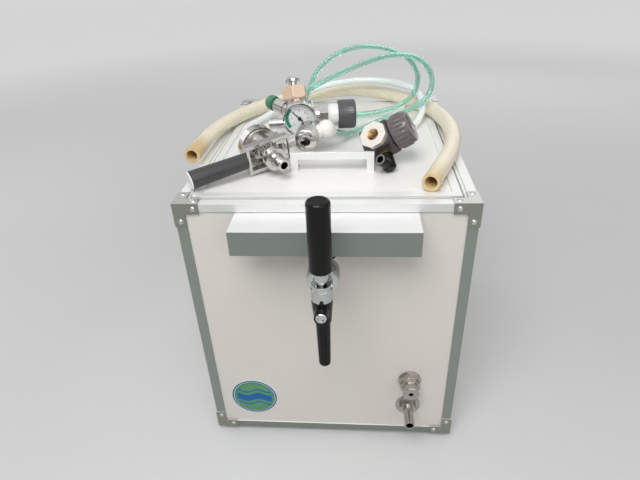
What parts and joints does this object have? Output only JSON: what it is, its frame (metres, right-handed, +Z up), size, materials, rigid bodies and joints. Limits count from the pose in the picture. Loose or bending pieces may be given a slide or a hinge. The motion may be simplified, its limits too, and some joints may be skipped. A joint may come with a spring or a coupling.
{
  "type": "ice-cooled beer server",
  "caption": "Insulated box with a coil for ice cooling, a lever tap on its front, and a keg coupler, gas regulators and hoses resting on its lift-off lid.",
  "frame": {"origin": "on the ground, at the middle of the object's width and of its length from the foam screw to the rear rivets", "axes": "+Z up; -Y is where the tap points; +X to the right as seen from the tap, where the two ports are"},
  "size_m": [0.365, 0.5074, 0.496],
  "materials": {
    "white_panel": "satin off-white coated sheet",
    "rail_aluminium": "satin anodised angle",
    "bracket_steel": "bright pressed steel",
    "rivet_steel": "bright domed heads",
    "foam": "cut foam board",
    "liner_white": "smooth moulded liner",
    "foot_rubber": "matt",
    "shelf_aluminium": "brushed",
    "screw_steel": "bright",
    "badge_face": "gloss enamel",
    "chrome": "polished",
    "port_steel": "turned",
    "coil_steel": "drawn tube",
    "grip_black": "polished black",
    "nozzle_black": "moulded, with flutes",
    "coupler_metal": "plated, slightly worn",
    "seal_rubber": "matt",
    "check_white": "smooth moulded",
    "dome_green": "moulded cap on a silver stem",
    "regulator_metal": "satin plated",
    "knob_black": "satin moulded",
    "gauge_bezel": "polished ring",
    "dial_white": "printed card",
    "needle_black": "matt",
    "lens": "clear",
    "nut_brass": "machined",
    "mini_black": "satin",
    "mini_smoke": "smoked, ribbed",
    "port_silver": "machined",
    "elbow_black": "moulded",
    "hose_braided": "clear with a yellowish braid",
    "hose_green": "translucent green",
    "hose_milky": "milky translucent"
  },
  "bodies": {
    "cabinet": {"frame_rails": "rail_aluminium", "frame_uprights": "rail_aluminium", "corner_brackets": "bracket_steel", "rivets": "rivet_steel", "front_panel": "white_panel", "back_panel": "white_panel", "side_panels": "white_panel", "bottom_panel": "white_panel", "insulation": "foam", "ice_liner": "liner_white", "feet": "foot_rubber", "shelf": "shelf_aluminium", "shelf_screws": "screw_steel", "badge": "badge_face", "tap_shank": "chrome", "shank_flange": "chrome", "shank_backnut": "port_steel", "coupling_nut": "chrome", "tap_body": "chrome", "tap_bonnet": "chrome", "tap_nozzle": "nozzle_black", "port_washers": "port_steel", "port_nuts": "port_steel", "inlet_fitting": "port_steel", "drain_pipe": "port_steel", "cooling_coil": "coil_steel"},
    "lid": {"lid_frame": "rail_aluminium", "lid_panel": "white_panel", "lid_core": "foam", "lid_handle": "rail_aluminium", "handle_screws": "screw_steel", "coupler_body": "coupler_metal", "coupler_seal": "seal_rubber", "gas_inlet_nut": "coupler_metal", "check_ball": "check_white", "regulator_body": "regulator_metal", "relief_dome": "dome_green", "regulator_bonnet": "check_white", "gauge_case": "gauge_bezel", "gauge_dial": "dial_white", "gauge_lens": "lens", "mini_block": "mini_black", "mini_port": "port_silver", "banjo_bolt": "nut_brass", "braided_hose": "hose_braided", "green_hose": "hose_green", "milky_hose": "hose_milky"},
    "tap_lever": {"lever_stem": "chrome", "tap_grip": "grip_black"},
    "tap_valve": {"tap_stem": "port_steel"},
    "foam_screw": {"foam_screw": "chrome"},
    "coupler_lever": {"coupler_yoke": "coupler_metal", "coupler_grip": "grip_black"},
    "coupler_probe": {"coupler_probe": "coupler_metal"},
    "regulator_knob": {"regulator_knob": "knob_black"},
    "gauge_needle": {"gauge_needle": "needle_black"},
    "cylinder_nut": {"cylinder_nut": "nut_brass"},
    "mini_knob": {"mini_knob": "mini_smoke"},
    "push_in_elbow": {"push_in_elbow": "elbow_black"}
  },
  "joints": [
    {"name": "lid_lift", "type": "slide", "parent": "cabinet", "child": "lid", "axis": [0, 0, 1], "range_m": [0, 0.15]},
    {"name": "tap_lever", "type": "hinge", "parent": "cabinet", "child": "tap_lever", "pos_m": [0.001, -0.2317, 0.3308], "axis": [1, 0, 0], "range_deg": [-12, 30]},
    {"name": "tap_valve", "type": "slide", "parent": "cabinet", "child": "tap_valve", "axis": [0, 1, 0], "range_m": [-0.0016, 0.0039]},
    {"name": "foam_screw", "type": "hinge", "parent": "cabinet", "child": "foam_screw", "pos_m": [0.001, -0.2537, 0.3026], "axis": [0, -1, 0], "range_deg": [-180, 180]},
    {"name": "coupler_lever", "type": "hinge", "parent": "lid", "child": "coupler_lever", "pos_m": [-0.05603, -0.05719, 0.41031], "axis": [-0.0501, -0.0986, 0.9939], "range_deg": [0, 24]},
    {"name": "coupler_probe", "type": "slide", "parent": "lid", "child": "coupler_probe", "axis": [0.5728, -0.818, -0.0523], "range_m": [0, 0.0086]},
    {"name": "regulator_knob", "type": "hinge", "parent": "lid", "child": "regulator_knob", "pos_m": [-0.041, 0.0353, 0.4211], "axis": [0.9925, 0.1219, 0], "range_deg": [-360, 360]},
    {"name": "gauge_needle", "type": "hinge", "parent": "lid", "child": "gauge_needle", "pos_m": [-0.04398, 0.03493, 0.4301], "axis": [-0.1219, 0.9925, 0], "range_deg": [-60, 180]},
    {"name": "cylinder_nut", "type": "hinge", "parent": "lid", "child": "cylinder_nut", "pos_m": [-0.04596, 0.03469, 0.4211], "axis": [-0.1452, 0.3606, 0.9214], "continuous": true},
    {"name": "mini_knob", "type": "hinge", "parent": "lid", "child": "mini_knob", "pos_m": [0.0648, -0.0451, 0.4127], "axis": [0.8512, -0.101, 0.5151], "range_deg": [-270, 270]},
    {"name": "push_in_elbow", "type": "hinge", "parent": "lid", "child": "push_in_elbow", "pos_m": [0.07136, -0.06235, 0.40138], "axis": [-0.2448, 0.7916, 0.5598], "range_deg": [-20, 20]}
  ],
  "couplings": [
    {"joint": "tap_valve", "follows": "tap_lever", "m_per_rad": 0.0072},
    {"joint": "coupler_probe", "follows": "coupler_lever", "m_per_rad": 0.02}
  ]
}
